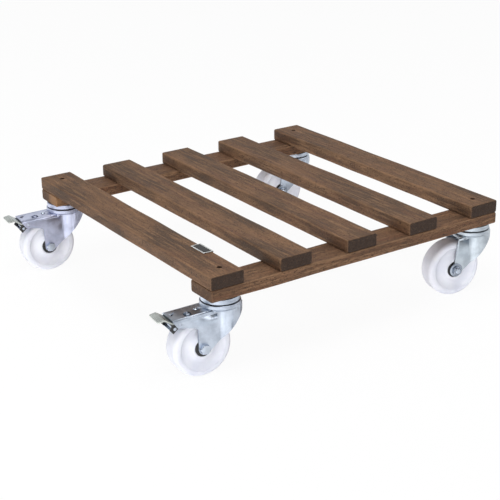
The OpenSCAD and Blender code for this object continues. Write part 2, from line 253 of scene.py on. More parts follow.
# --- Shader helpers ---------------------------------------------------------------------------


def feed(tree, node, inputs):
    """Gives a node its inputs, each a value or a socket to link."""
    for key, value in inputs.items():
        if isinstance(value, bpy.types.NodeSocket):
            tree.links.new(value, node.inputs[key])
        else:
            node.inputs[key].default_value = value


def put(tree, kind, inputs=None, **settings):
    """A node of a kind with its settings and inputs."""
    node = tree.nodes.new(kind if kind.startswith("NodeGroup") else "ShaderNode" + kind)
    for key, value in settings.items():
        setattr(node, key, value)
    feed(tree, node, inputs or {})
    return node


def blend_colours(tree, amount, first, second):
    """Mix of two colours by an amount."""
    return put(tree, "Mix", {0: amount, 6: first, 7: second}, data_type="RGBA").outputs[2]


def maths(tree, operation, *values):
    """A Math node's value."""
    return put(tree, "Math", dict(enumerate(values)), operation=operation).outputs[0]


def stretch(tree, value, low, high, to_low=0.0, to_high=1.0):
    """A value taken from one range to another, smoothly and held at its ends."""
    inputs = {0: value, 1: low, 2: high, 3: to_low, 4: to_high}
    return put(tree, "MapRange", inputs, interpolation_type="SMOOTHSTEP").outputs[0]


def noise(tree, vector, scale, detail=4.0, roughness=0.55):
    """A noise texture's value."""
    inputs = {"Vector": vector, "Scale": scale, "Detail": detail, "Roughness": roughness}
    return put(tree, "TexNoise", inputs).outputs[0]


def scaled(tree, vector, by):
    """A vector multiplied by another."""
    return put(tree, "VectorMath", {0: vector, 1: by}, operation="MULTIPLY").outputs[0]


def shader_group(name, build, *inputs):
    """A node group made once: build gets the tree and its inputs, and returns its outputs by name."""
    if name in bpy.data.node_groups:
        return bpy.data.node_groups[name]
    tree = bpy.data.node_groups.new(name, "ShaderNodeTree")
    for key in inputs:
        kind = "NodeSocketVector" if key == "Vector" else "NodeSocketFloat"
        tree.interface.new_socket(name=key, in_out="INPUT", socket_type=kind)
    made = build(tree, put(tree, "NodeGroupInput").outputs)
    for key in made:
        tree.interface.new_socket(name=key, in_out="OUTPUT", socket_type="NodeSocketFloat")
    put(tree, "NodeGroupOutput", made)
    return tree


def use_group(tree, group, inputs):
    """A node group placed in a tree with its own values."""
    return put(tree, "Group", inputs, node_tree=group).outputs


def new_material(name):
    """A material with a bare Principled BSDF, and its tree, shader and object coordinates."""
    material = bpy.data.materials.new(name)
    material.use_nodes = True
    tree = material.node_tree
    shader = tree.nodes["Principled BSDF"]
    where = put(tree, "TexCoord").outputs["Object"]
    return material, tree, shader, where


def bump(tree, shader, height, distance, strength):
    """Raises a height over the surface."""
    inputs = {"Height": height, "Distance": distance, "Strength": strength}
    feed(tree, shader, {"Normal": put(tree, "Bump", inputs).outputs[0]})


# --- Shared finishes --------------------------------------------------------------------------


def build_timber_figure(tree, inputs):
    """Stained timber with its grain along X: broad patches, growth figure, fibre streaks and pores."""
    shift = put(tree, "CombineXYZ", {0: inputs["Seed"], 1: inputs["Seed"]}).outputs[0]
    moved = put(tree, "VectorMath", {0: inputs["Vector"], 1: shift}, operation="ADD").outputs[0]
    patches = noise(tree, scaled(tree, moved, (9, 26, 26)), 1.0, 3.0, 0.6)
    redness = noise(tree, scaled(tree, moved, (5, 34, 34)), 1.7, 2.0, 0.5)
    waviness = noise(tree, scaled(tree, moved, (3, 14, 14)), 1.0, 2.0)
    apart = put(tree, "SeparateXYZ", {0: inputs["Vector"]}).outputs
    height = maths(tree, "ADD", apart["Z"], 0.028)
    across = maths(tree, "MULTIPLY_ADD", waviness, 0.05, apart["Y"])
    radius = maths(tree, "SQRT", maths(tree, "ADD", maths(tree, "MULTIPLY", height, height),
                                       maths(tree, "MULTIPLY", across, across)))
    rings = maths(tree, "SINE", maths(tree, "MULTIPLY_ADD", waviness, 9.0,
                                      maths(tree, "MULTIPLY", radius, 1150.0)))
    figure = stretch(tree, rings, -0.6, 1.0)
    streaks = noise(tree, scaled(tree, moved, (14, 210, 210)), 1.0, 5.0, 0.65)
    fibres = noise(tree, scaled(tree, moved, (90, 560, 560)), 1.0, 4.0, 0.75)
    dashes = noise(tree, scaled(tree, moved, (330, 560, 560)), 1.0, 3.0, 0.65)
    pores = stretch(tree, dashes, 0.55, 0.66)
    height = maths(tree, "SUBTRACT", maths(tree, "MULTIPLY_ADD", streaks, 0.5,
                                           maths(tree, "MULTIPLY", fibres, 0.5)), pores)
    return {"Patches": patches, "Redness": redness, "Figure": figure, "Streaks": streaks,
            "Fibres": fibres, "Pores": pores, "Height": height}


def build_plating(tree, inputs):
    """Handled metal: clouded plate, fine rubbed scratches along X and Z, and faint pitting."""
    where = inputs["Vector"]
    clouds = noise(tree, where, 55.0, 4.0, 0.6)
    blotches = noise(tree, where, 210.0, 3.0, 0.5)
    along = noise(tree, scaled(tree, where, (110, 110, 900)), 1.0, 3.0, 0.6)
    upright = noise(tree, scaled(tree, where, (800, 800, 90)), 1.0, 3.0, 0.6)
    scratches = maths(tree, "MAXIMUM", stretch(tree, along, 0.6, 0.74), stretch(tree, upright, 0.58, 0.72))
    grit = noise(tree, where, 2600.0, 2.0, 0.5)
    height = maths(tree, "MULTIPLY_ADD", grit, 0.5, maths(tree, "MULTIPLY", clouds, 0.6))
    height = maths(tree, "SUBTRACT", height, maths(tree, "MULTIPLY", scratches, 0.4))
    return {"Clouds": clouds, "Blotches": blotches, "Scratches": scratches, "Height": height}


def build_handling(tree, inputs):
    """Handled plastic: soft smudges, scuffs and a fine moulded grain."""
    where = inputs["Vector"]
    smudges = stretch(tree, noise(tree, where, 42.0, 4.0, 0.6), 0.35, 0.7)
    scuffs = stretch(tree, noise(tree, scaled(tree, where, (300, 300, 1100)), 1.0, 3.0, 0.7), 0.6, 0.72)
    grain = noise(tree, where, 1800.0, 3.0, 0.5)
    return {"Smudges": smudges, "Scuffs": scuffs, "Grain": grain}


def colour(value):
    """A property's colour with its alpha."""
    return (*value, 1.0)


def stained_timber(name, centre, along_y, seed, settings, deep=0.0, bare=None):
    """Weathered stain over planed timber: figure, worn pale arrises, thirsty dark end grain, and a near-black
    painted shade down the pilot holes.
    deep leans the face towards the darker, redder stain of the battens, and bare is a place where
    the stain has missed a patch."""
    material, tree, shader, where = new_material(name)
    turn = Matrix.Rotation(radians(-90), 3, "Z") if along_y else Matrix.Identity(3)
    mapping = {"Vector": where, "Location": -(turn @ Vector(centre)),
               "Rotation": (0, 0, radians(-90) if along_y else 0)}
    figured = shader_group("Timber figure", build_timber_figure, "Vector", "Seed")
    grain_axes = put(tree, "Mapping", mapping).outputs[0]
    figure = use_group(tree, figured, {"Vector": grain_axes, "Seed": seed})
    arris = put(tree, "Attribute", attribute_name="arris").outputs["Fac"]
    end_grain = put(tree, "Attribute", attribute_name="end_grain").outputs["Fac"]

    pith = stretch(tree, noise(tree, where, 900.0, 3.0, 0.7), 0.42, 0.75)
    specks = noise(tree, where, 620.0, 3.0, 0.7)
    thirst = maths(tree, "MULTIPLY", maths(tree, "MINIMUM", end_grain, 1.0), 1.0 - 1.8 * deep)
    red = maths(tree, "MULTIPLY_ADD", stretch(tree, figure["Redness"], 0.42, 0.68), 0.6, deep)
    dark = maths(tree, "MULTIPLY", stretch(tree, figure["Fibres"], 0.46, 0.66), 0.6 + 0.9 * deep)
    worn = maths(tree, "MULTIPLY", arris, stretch(tree, figure["Patches"], 0.3, 0.62, 0.1, 0.6))
    end = blend_colours(tree, pith, colour(settings.end_grain), colour(settings.stain_dark))
    face = colour(settings.stain_dark)
    for amount, tone in (
        (stretch(tree, figure["Patches"], 0.36, 0.66), colour(settings.stain)),
        (red, colour(settings.stain_red)),
        (stretch(tree, figure["Streaks"], 0.42, 0.68, 0.0, 0.8), colour(settings.stain_pale)),
        (maths(tree, "MULTIPLY", figure["Figure"], 0.28), colour(settings.stain_dark)),
        (dark, colour(settings.stain_dark)),
        (maths(tree, "MULTIPLY", figure["Pores"], 0.8), colour(settings.end_grain)),
        (worn, colour(settings.stain_pale)),
        (thirst, end),
        # Painted shade: where end_grain reaches 2, down a pilot hole, the bore is painted near black with
        # BORE_SHADE.
        (stretch(tree, end_grain, 1.1, 1.9), BORE_SHADE),
        (stretch(tree, specks, 0.5, 0.68, 0.0, 0.5), colour(settings.stain_dark)),
        (stretch(tree, specks, 0.46, 0.32, 0.0, 0.35), colour(settings.stain_pale)),
    ):
        face = blend_colours(tree, amount, face, tone)
    if bare:
        away = put(tree, "VectorMath", {0: where, 1: bare}, operation="DISTANCE")
        edge = maths(tree, "MULTIPLY_ADD", noise(tree, where, 260.0, 3.0, 0.6), 14 * MM,
                     away.outputs["Value"])
        missed = stretch(tree, edge, 30 * MM, 12 * MM, 0.0, 0.6)
        face = blend_colours(tree, missed, face, colour(settings.bare_wood))
    rough = stretch(tree, figure["Streaks"], 0.3, 0.75, 0.62, 0.84)
    feed(tree, shader, {"Base Color": face, "Roughness": rough, "Specular IOR Level": 0.25})
    bump(tree, shader, figure["Height"], 0.35 * MM, 0.8)
    return material


def plated_steel(name, base, light, rough):
    """Zinc plate: a clouded metal colour with rubbed scratches, bright where handled."""
    material, tree, shader, where = new_material(name)
    plate = use_group(tree, shader_group("Plating", build_plating, "Vector"), {"Vector": where})
    blotches = stretch(tree, plate["Blotches"], 0.5, 0.75, 0.0, 0.1)
    rubbed = maths(tree, "MULTIPLY", plate["Scratches"], 0.45)
    tint = blend_colours(tree, stretch(tree, plate["Clouds"], 0.35, 0.68), colour(base), colour(light))
    tint = blend_colours(tree, blotches, tint, colour([c * 0.62 for c in base]))
    tint = blend_colours(tree, rubbed, tint, colour(light))
    gloss = stretch(tree, plate["Clouds"], 0.3, 0.7, rough - 0.04, rough + 0.05)
    feed(tree, shader, {"Base Color": tint, "Roughness": gloss, "Metallic": 1.0})
    bump(tree, shader, plate["Height"], 0.008 * MM, 0.6)
    return material


def moulded_plastic(name, base, shade, rough, translucent_with_rim_shade=0.0):
    """Moulded plastic: smudged and lightly scuffed, with a fine grain. Where it is translucent, light spreads in
    it, and its rims that turn away from the view get a painted shade."""
    material, tree, shader, where = new_material(name)
    touch = use_group(tree, shader_group("Handling", build_handling, "Vector"), {"Vector": where})
    smudged = maths(tree, "MULTIPLY", touch["Smudges"], 0.5)
    scuffed = maths(tree, "MULTIPLY", touch["Scuffs"], 0.25)
    tint = blend_colours(tree, smudged, colour(base), colour(shade))
    tint = blend_colours(tree, scuffed, tint, colour(shade))
    gloss = stretch(tree, touch["Smudges"], 0.0, 1.0, rough, rough + 0.12)
    if translucent_with_rim_shade:
        # Painted shade: the colour darkens towards rims that turn away from the view, a dark outline painted on
        # the plastic.
        rim = put(tree, "LayerWeight", {"Blend": 0.3}).outputs["Facing"]
        rim = maths(tree, "MULTIPLY", rim, 0.75)
        tint = blend_colours(tree, rim, tint, colour([c * 0.62 for c in shade]))
        feed(tree, shader, {"Subsurface Weight": translucent_with_rim_shade, "Subsurface Radius": (1.0, 0.9, 1.0),
                            "Subsurface Scale": 3 * MM})
    feed(tree, shader, {"Base Color": tint, "Roughness": gloss})
    bump(tree, shader, touch["Grain"], 0.03 * MM, 0.5)
    return material


def finish(name, make, *values):
    """A finish made once and shared by the pieces that carry it."""
    return bpy.data.materials.get(name) or make(name, *values)


def pressed_zinc(caster):
    """Bright zinc on pressed sheet; the passivate of each caster has its own cast, blue or violet."""
    metal = bpy.context.scene.caddy_metal
    cast = {"rear_left": (1.0, 0.95, 1.04), "front_right": (0.97, 0.97, 0.92)}.get(caster, (1, 1, 1))
    tones = [[c * t for c, t in zip(tone, cast)] for tone in (metal.zinc, metal.zinc_light)]
    return finish("Pressed zinc " + caster, plated_steel, *tones, 0.34)


def bright_zinc():
    """Bright zinc on turned and headed pieces."""
    metal = bpy.context.scene.caddy_metal
    return finish("Bright zinc", plated_steel, metal.zinc, metal.zinc_light, 0.14)


# --- Settings ---------------------------------------------------------------------------------


def colour_setting(name, description, default):
    """A setting that is a colour."""
    return bpy.props.FloatVectorProperty(
        name=name, description=description, subtype="COLOR", default=default, min=0, max=1)


class CaddyTimberSettings(bpy.types.PropertyGroup):
    """Stain and wear of the slats and battens."""

    stain: colour_setting("Stain", "Mid tone of the stained faces", (0.205, 0.106, 0.052))
    stain_dark: colour_setting("Dark stain", "Where the stain has soaked in", (0.066, 0.037, 0.021))
    stain_red: colour_setting("Red stain", "Redder heartwood under the stain", (0.145, 0.064, 0.033))
    stain_pale: colour_setting(
        "Worn stain", "Stain rubbed thin on arrises and along the grain", (0.3, 0.172, 0.095))
    end_grain: colour_setting("End grain", "Saw-cut ends that drink the stain", (0.022, 0.013, 0.01))
    bare_wood: colour_setting("Bare wood", "Where the stain missed", (0.42, 0.23, 0.11))
    arris: bpy.props.FloatProperty(
        name="Arris radius", description="Radius worn along the edges", default=2.3 * MM,
        min=0.5 * MM, max=5 * MM, unit="LENGTH")
    pilot: bpy.props.FloatProperty(
        name="Pilot hole", description="Diameter of the open holes over the casters",
        default=7 * MM, min=3 * MM, max=10 * MM, unit="LENGTH")


class CaddyMetalSettings(bpy.types.PropertyGroup):
    """Plating of the casters and fasteners."""

    zinc: colour_setting("Zinc", "Plate in its clouded parts", (0.39, 0.435, 0.51))
    zinc_light: colour_setting("Bright zinc", "Plate where it is brightest", (0.54, 0.595, 0.68))
    zinc_dull: colour_setting("Dull zinc", "Plate of the trodden brake pedals", (0.42, 0.44, 0.42))
    gold: colour_setting("Yellow passivate", "Plate of the wood screws", (0.62, 0.44, 0.18))
    thread_pitch: bpy.props.FloatProperty(
        name="Thread pitch", description="Pitch of the axle bolts' thread", default=1.25 * MM,
        min=0.5 * MM, max=3 * MM, unit="LENGTH")


class CaddyWheelSettings(bpy.types.PropertyGroup):
    """Moulding of the wheels and their thread guards."""

    nylon: colour_setting("Nylon", "Colour of the wheels", (0.88, 0.89, 0.95))
    nylon_shade: colour_setting("Nylon in shade", "Cooler tone of smudges and scuffs", (0.72, 0.74, 0.85))
    guard: colour_setting("Thread guard", "Colour of the rings in the hubs", (0.012, 0.012, 0.013))
    ring_line: bpy.props.FloatProperty(
        name="Ring line", description="Depth of the moulded line round the dish", default=0.35 * MM,
        min=0, max=1 * MM, unit="LENGTH")


class CaddyStudioSettings(bpy.types.PropertyGroup):
    """Camera and light."""

    camera: bpy.props.FloatVectorProperty(
        name="Camera", description="Where the camera stands", subtype="TRANSLATION", unit="LENGTH",
        default=(-1.010, -1.473, 0.615))
    heading: bpy.props.FloatProperty(
        name="Heading", description="Way the camera looks, clockwise from +Y seen from above",
        subtype="ANGLE", default=radians(33.84))
    dip: bpy.props.FloatProperty(
        name="Dip", description="How far the camera looks down", subtype="ANGLE",
        default=radians(21.85))
    tilt: bpy.props.FloatProperty(
        name="Tilt", description="Lean of the camera", subtype="ANGLE", default=radians(-0.84))
    lens: bpy.props.FloatProperty(
        name="Lens", description="Focal length in millimetres", default=89.09, min=20, max=300)
    daylight: bpy.props.FloatProperty(
        name="Surround", description="Strength of the pale surround", default=0.55, min=0, max=5)


# --- Timber -----------------------------------------------------------------------------------


def bar_grid(length, width, thickness, radius, seed, wear=1.0, rows=90, flat=(14, 6), arc=7):
    """A bar along X as a grid. Each row is a rounded rectangle, whose corner circles have a radius that
    wavers along the bar; near an end the row draws in by r - sqrt(r^2 - (r - d)^2), where d is the
    distance from the end, and at last shrinks to a point. Returns the grid and, for each point, how
    far it lies on a worn edge and on an end."""
    half = np.array((width, thickness)) / 2
    end_angle = np.linspace(0, pi / 2, arc)
    end_depth = radius * (1 - np.cos(end_angle))
    end_inset = radius * (1 - np.sin(end_angle))
    middle = np.linspace(radius, length - radius, rows)[1:-1]
    depth = np.concatenate([end_depth, middle, length - end_depth[::-1]])
    inset = np.concatenate([end_inset, 0 * middle, end_inset[::-1]])
    on_end = np.concatenate([np.sin(2 * end_angle), 0 * middle, np.sin(2 * end_angle[::-1])])
    face_end = np.concatenate([ease(1.6 * np.cos(end_angle) - 0.3), 0 * middle,
                               ease(1.6 * np.cos(end_angle[::-1]) - 0.3)])

    signs = np.array([(1, 1), (-1, 1), (-1, -1), (1, -1)])
    steps = []
    for corner in range(4):
        following = (corner + 1) % 4
        for a in np.linspace(0, pi / 2, arc):
            steps.append((corner, a, corner, a, 0))
        for f in np.linspace(0, 1, flat[corner % 2] + 1)[1:-1]:
            steps.append((corner, pi / 2, following, 0, f))
    steps = np.array(steps)
    first, second = steps[:, 0].astype(int), steps[:, 2].astype(int)
    fraction = steps[:, 4][None, :, None]

    wave = np.stack([waver(depth, seed + corner) for corner in range(4)], 1)
    corner_radius = radius * (1 + 0.35 * wear * wave)
    sag = 0.05 * MM * wear * (1 + waver(depth, seed + 9))

    def arc_points(corner, angle):
        r = corner_radius[:, corner]
        room = half - inset[:, None, None] - sag[:, None, None] - r[..., None]
        a = angle + corner * pi / 2
        way = np.stack([np.cos(a), np.sin(a)], -1)
        return signs[corner] * room + r[..., None] * way

    loop = (1 - fraction) * arc_points(first, steps[:, 1]) + fraction * arc_points(second, steps[:, 3])
    along = np.broadcast_to(depth[:, None, None] - length / 2, (*loop.shape[:2], 1))
    grid = np.concatenate([along, loop], -1)
    on_arc = np.sin(2 * steps[:, 1]) * (steps[:, 4] == 0)
    arris = np.maximum(on_arc[None], on_end[:, None]) * np.ones(loop.shape[:2])
    end = face_end[:, None] * np.ones(loop.shape[:2])

    shrink = np.array([0, 0.25, 0.5, 0.75, 0.92])[:, None, None]
    near = grid[:1] * [1, 0, 0] + grid[:1] * [0, 1, 1] * shrink
    far = grid[-1:] * [1, 0, 0] + grid[-1:] * [0, 1, 1] * shrink[::-1]
    grid = np.concatenate([near, grid, far])
    caps = np.zeros((len(shrink), loop.shape[1]))
    arris = np.concatenate([caps, arris, caps])
    end = np.concatenate([caps + 1, end, caps + 1])
    return grid, arris, end


def stretched_along(points, axis):
    """Turns a bar's own X to the frame's X (0) or Y (1), keeping it right-handed."""
    return points if axis == 0 else np.stack([-points[..., 1], points[..., 0], points[..., 2]], -1)


def cut_pilot_holes(piece, places, radius, depth):
    """Drills blind holes, each with its mouth slightly crushed, down from the top of a piece. Their bores carry an
    end_grain of 2, which marks them for a near-black painted shade.
    """
    for x, y, top in places:
        profile = np.array([(0, 2 * MM), (radius + 0.5 * MM, 2 * MM), (radius + 0.5 * MM, 0.05 * MM),
                            (radius, -0.6 * MM), (radius * 0.97, -depth), (0, -depth - 1.2 * MM)])
        surface = shell(revolve(profile, 40) + np.array((x, y, top)))
        # An end_grain of 2 here is not end grain. It marks the bore for its near-black painted shade.
        bore = {"arris": np.zeros(len(surface[0])), "end_grain": np.full(len(surface[0]), 2.0)}
        drill = build_mesh("Drill", [surface], bore)
        tool = bpy.data.objects.new("Drill", drill)
        bpy.context.scene.collection.objects.link(tool)
        cut = piece.modifiers.new("Hole", "BOOLEAN")
        cut.object = tool
        cut.solver = "EXACT"
        bpy.context.view_layer.update()
        solid = piece.evaluated_get(bpy.context.evaluated_depsgraph_get())
        mesh = bpy.data.meshes.new_from_object(solid)
        piece.modifiers.clear()
        piece.data = mesh
        bpy.data.objects.remove(tool)
        mesh.shade_smooth()
        mesh.set_sharp_from_angle(angle=radians(32))


class OBJECT_OT_caddy_timber(bpy.types.Operator):
    """Five slats and two battens with worn arrises, stained faces and open pilot holes"""

    bl_idname = "object.caddy_timber"
    bl_label = "Slats and battens"

    def execute(self, context):
        settings = context.scene.caddy_timber
        for number, node in enumerate(SLATS + BATTENS):
            low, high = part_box(node)
            centre, size = (low + high) / 2, high - low
            axis = 1 if node in SLATS else 0
            length, width = size[axis], size[1 - axis]
            seed = 20 + 7 * number
            grid, arris, end = bar_grid(length, width, size.z, settings.arris, seed)
            grid = stretched_along(grid, axis) + np.array(centre)
            mesh = build_mesh(node, [shell(grid)], {"arris": arris.ravel(), "end_grain": end.ravel()})
            deep = 0.4 if node in BATTENS else 0.0
            missed = (low.x, centre.y - 0.3 * size.y, centre.z + 2 * MM) if node == BATTENS[1] else None
            material = stained_timber("Stained " + node, centre, axis == 1, 1.7 * number + 0.3, settings,
                                      deep, missed)
            piece = add_piece("timber_" + node, mesh, material, node)
            if node in (SLATS[0], SLATS[-1]):
                corners = [c for c in CASTERS if (JOINTS["swivel_" + c]["pos_m"][0] < 0) == (centre.x < 0)]
                places = [(*JOINTS["swivel_" + c]["pos_m"][:2], high.z) for c in corners]
                cut_pilot_holes(piece, places, settings.pilot / 2, 0.6 * size.z)
        return {"FINISHED"}


# --- Fasteners --------------------------------------------------------------------------------


def hexagon(angle, flats, sharp):
    """Radius of a hexagon at an angle, from its width across flats; sharp 0 gives the circle inside it."""
    a = (angle + pi / 6) % (pi / 3) - pi / 6
    return flats / 2 * (1 + sharp * (1 / np.cos(a) - 1))


def fastener(rings):
    """A turned and headed piece: each ring (radius, height, hex) is a circle, or where hex is above 0
    a hexagon with that radius across its flats."""
    rings = np.array(rings)
    a = turns(120)[None, :]
    radius = np.where(rings[:, 2:3] > 0, hexagon(a, 2 * rings[:, :1], rings[:, 2:3]), rings[:, :1] + 0 * a)
    return np.stack([radius * np.cos(a), radius * np.sin(a), rings[:, 1:2] + 0 * a], -1)


def hex_head_rings(flats, height, base):
    """Rings of a hex head from the middle of its top down to its bearing face."""
    h = flats / 2
    return [(0, base + height, 0), (0.55 * h, base + height, 0), (0.6 * h, base + height - 0.1 * MM, 0),
            (0.9 * h, base + height - 0.1 * MM, 0), (0.94 * h, base + height - 0.15 * MM, 0.2),
            (h - 0.15 * MM, base + 0.86 * height, 0.85), (h, base + 0.8 * height, 1),
            (h, base + 0.5 * height, 1), (h, base + 0.18 * height, 1), (h, base + 0.5 * MM, 1),
            (0.97 * h, base + 0.25 * MM, 0.2), (0.95 * h, base, 0)]


def thread_rows(radius, start, end, pitch):
    """Heights along a threaded length, eight to a turn of the thread."""
    count = int(abs(end - start) / pitch * 8)
    return [(radius, z, 0) for z in np.linspace(start, end, count)]


def cut_thread(points, radius, low, high, pitch):
    """Sinks a helical groove between two heights: the radius drops by the depth times the triangle wave
    of height / pitch less the angle as a share of a turn."""
    x, y, z = points[..., 0], points[..., 1], points[..., 2]
    share = (z / pitch - np.arctan2(y, x) / (2 * pi)) % 1
    depth = 0.55 * pitch * np.abs(2 * share - 1)
    inside = ease((z - low) / pitch) * ease((high - z) / pitch) * (np.hypot(x, y) > 0.9 * radius)
    factor = 1 - inside * depth / radius
    return np.stack([x * factor, y * factor, z], -1)


def axle_bolt_grid(half_width, tip, pitch):
    """The axle bolt: head, plain shank through both legs, and a threaded end below the nut."""
    radius = BOLT_RADIUS
    rings = hex_head_rings(HEX_FLATS, HEAD_HEIGHT, half_width)
    rings += [(radius + 0.3 * MM, half_width, 0), (radius, half_width - 0.3 * MM, 0), (radius, 0, 0)]
    start = -half_width + 2 * MM
    rings += thread_rows(radius, start, tip + 0.8 * MM, pitch)
    rings += [(radius - 0.8 * MM, tip, 0), (0, tip, 0)]
    return cut_thread(fastener(rings), radius, tip + 0.6 * MM, start, pitch)


def axle_nut_grid(face, height, flange):
    """The axle nut: a closed ring in section, its flange against the leg and both mouths countersunk."""
    h, bore = HEX_FLATS / 2, BOLT_RADIUS - 0.05 * MM
    rings = [(bore, face, 0), (bore, face - height + 0.5 * MM, 0), (bore + 0.6 * MM, face - height, 0),
             (0.86 * h, face - height, 0), (0.93 * h, face - height + 0.12 * MM, 0.25),
             (h, face - 0.82 * height, 1), (h, face - 0.5 * height, 1), (h, face - 0.28 * height, 1),
             (h, face - 1.5 * MM, 0.8), (flange - 0.6 * MM, face - 1.3 * MM, 0),
             (flange, face - 0.9 * MM, 0), (flange, face - 0.1 * MM, 0), (flange - 0.1 * MM, face, 0)]
    return fastener(rings)


def screw_head_grid(radius, depth):
    """A countersunk head with a cross recess, facing down: the face sinks by the recess depth where a
    point lies inside either arm of the cross, and the arms fade towards their ends."""
    face = np.linspace(0, radius - 0.25 * MM, 26)
    side = [radius, radius - 0.05 * MM, 0.5 * radius, 0.45 * radius, 0]
    radii = np.concatenate([face, side])[:, None]
    shank = depth + 6 * MM
    height = np.concatenate([0 * face, [0.12 * MM, 0.35 * MM, depth, shank, shank]])[:, None]
    a = turns(72)[None, :]
    x, y = radii * np.cos(a), radii * np.sin(a)
    arm = ease((0.75 * MM - np.minimum(np.abs(x), np.abs(y))) / (0.35 * MM))
    recess = arm * ease((0.62 * radius - radii) / (0.25 * radius)) * (height == 0)
    return np.stack([x, y, height + 1.6 * MM * recess], -1)


class OBJECT_OT_caddy_fasteners(bpy.types.Operator):
    """Wood screws under the battens and the coach screws that hold the casters"""

    bl_idname = "object.caddy_fasteners"
    bl_label = "Screws"

    def execute(self, context):
        metal = context.scene.caddy_metal
        points = points_of(frame["nodes"]["under_screws"].data)
        bottom = points[points[:, 2] < points[:, 2].min() + 0.1 * MM]
        cells = np.unique(np.round(bottom[:, :2] / (14 * MM)), axis=0)
        middles = []
        for cell in cells:
            near = bottom[np.abs(bottom[:, :2] / (14 * MM) - cell).max(1) < 0.75]
            middle = (near[:, :2].min(0) + near[:, :2].max(0)) / 2
            if not any(np.hypot(*(middle - m)) < 8 * MM for m in middles):
                middles.append(middle)
        heads = []
        for number, (x, y) in enumerate(middles):
            angle = 0.7 * number
            turn = np.array([[cos(angle), -sin(angle), 0], [sin(angle), cos(angle), 0], [0, 0, 1]])
            grid = screw_head_grid(4 * MM, 2.6 * MM) @ turn.T + np.array((x, y, bottom[:, 2].min()))
            heads.append(shell(grid))
        gold = finish("Yellow passivate", plated_steel, metal.gold, [1.15 * c for c in metal.gold], 0.3)
        add_shells("wood_screws", "under_screws", heads, gold)

        screws = []
        foot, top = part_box("caster_bolts")
        rings = hex_head_rings(HEX_FLATS, HEAD_HEIGHT, -HEAD_HEIGHT)
        rings += [(BOLT_RADIUS, -HEAD_HEIGHT, 0), (BOLT_RADIUS, foot.z - top.z + 1 * MM, 0),
                  (0, foot.z - top.z, 0)]
        grid = fastener(rings) * np.array((1, 1, -1))
        for caster in CASTERS:
            x, y, _ = JOINTS["swivel_" + caster]["pos_m"]
            screws.append(shell(grid + np.array((x, y, foot.z))))
        add_shells("coach_screws", "caster_bolts", screws, bright_zinc())
        return {"FINISHED"}


# --- Label clip -------------------------------------------------------------------------------


class OBJECT_OT_caddy_clip(bpy.types.Operator):
    """Folded clip over the first slat's edge with its rolled frame and plain dark panel"""

    bl_idname = "object.caddy_clip"
    bl_label = "Label clip"

    def execute(self, context):
        low, high = (np.array(v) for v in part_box("label_clip"))
        plate, rim = 0.9 * MM, 1.6 * MM
        top = high[2]
        shells = []
        bed = (low[0], low[1], top - 1.3 * MM), (high[0], high[1], top - 0.6 * MM)
        flange = (high[0] - plate, low[1] + 1 * MM, low[2]), (high[0], high[1] - 1 * MM, top - 0.7 * MM)
        for a, b in (np.array(bed), np.array(flange)):
            size = b - a
            grid, _, _ = bar_grid(size[1], size[0], size[2], 0.3 * MM, 3, 0.0, 30, (4, 4), 5)
            shells.append(shell(stretched_along(grid, 1) + (a + b) / 2))
        shells.append(shell(self.rolled_frame(low, high, rim, top), ring=True))
        polished = finish("Polished clip", plated_steel, (0.62, 0.62, 0.6), (0.86, 0.86, 0.85), 0.16)
        add_shells("label_clip_frame", "label_clip", shells, polished)

        low, high = (np.array(v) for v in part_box("label_insert"))
        size = high - low
        grid, _, _ = bar_grid(size[1], size[0], size[2], 0.12 * MM, 5, 0.0, 20, (8, 3), 4)
        panel = shell(stretched_along(grid, 1) + (low + high) / 2)
        dark = finish("Label panel", moulded_plastic, (0.018, 0.016, 0.015), (0.05, 0.046, 0.04), 0.62)
        add_shells("label_panel", "label_insert", [panel], dark)
        return {"FINISHED"}

    def rolled_frame(self, low, high, rim, top):
        """A half-round lip carried round a rounded rectangle: the outline's points move in by the lip's
        width times (1 - cos b) / 2 and up by its height times sin b, for b round a full turn."""
        count = 96
        a = turns(count)
        half = (high[:2] - low[:2]) / 2
        corner = 1.6 * MM
        way = np.stack([np.cos(a), np.sin(a)], -1)
        reach = np.abs(way)
        box = half / np.maximum(reach, 1e-9)
        edge = way * box.min(1)[:, None]
        flat = np.clip(edge, corner - half, half - corner)
        out = edge - flat
        size = np.maximum(np.linalg.norm(out, axis=1, keepdims=True), 1e-9)
        edge = flat + out / size * corner
        normal = out / size
        b = turns(16)[:, None, None]
        lip = rim / 2 * (1 - np.cos(b))
        height = 0.55 * MM * np.sin(b)
        plan = edge[None] - normal[None] * lip + (low[:2] + high[:2]) / 2
        return np.concatenate([plan, np.broadcast_to(top - 0.55 * MM + height, (*plan.shape[:2], 1))], -1)


# --- Wheels -----------------------------------------------------------------------------------


